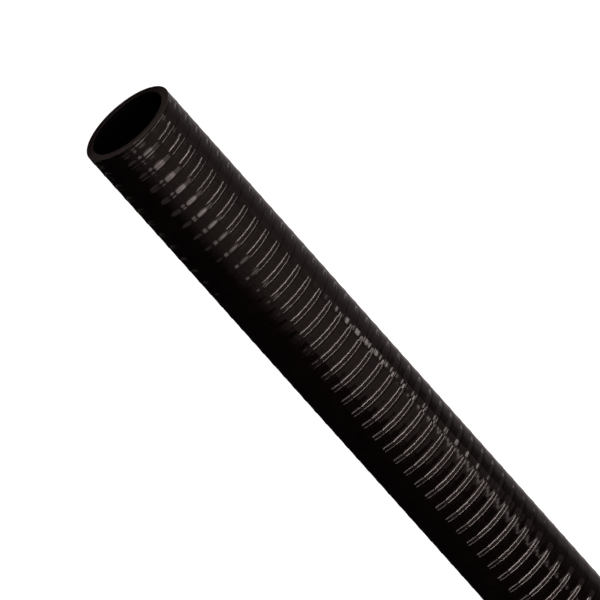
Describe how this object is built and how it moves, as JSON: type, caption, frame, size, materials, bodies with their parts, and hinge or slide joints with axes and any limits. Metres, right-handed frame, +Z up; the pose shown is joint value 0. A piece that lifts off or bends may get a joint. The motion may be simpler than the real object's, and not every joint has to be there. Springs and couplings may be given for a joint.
{
  "type": "chemical suction hose",
  "caption": "Straight length of thick-walled black suction hose with an open smooth bore, square-cut ends and a shallow spiral rib round the outside.",
  "frame": {"origin": "on the floor, under the middle of the hose's length", "axes": "+X along the hose, from the mouth that the picture shows towards the far end; +Z up"},
  "size_m": [1, 0.0608, 0.0606],
  "materials": {
    "hose_wall": "satin black, moulded"
  },
  "bodies": {
    "root": {"hose": "hose_wall"}
  },
  "joints": []
}
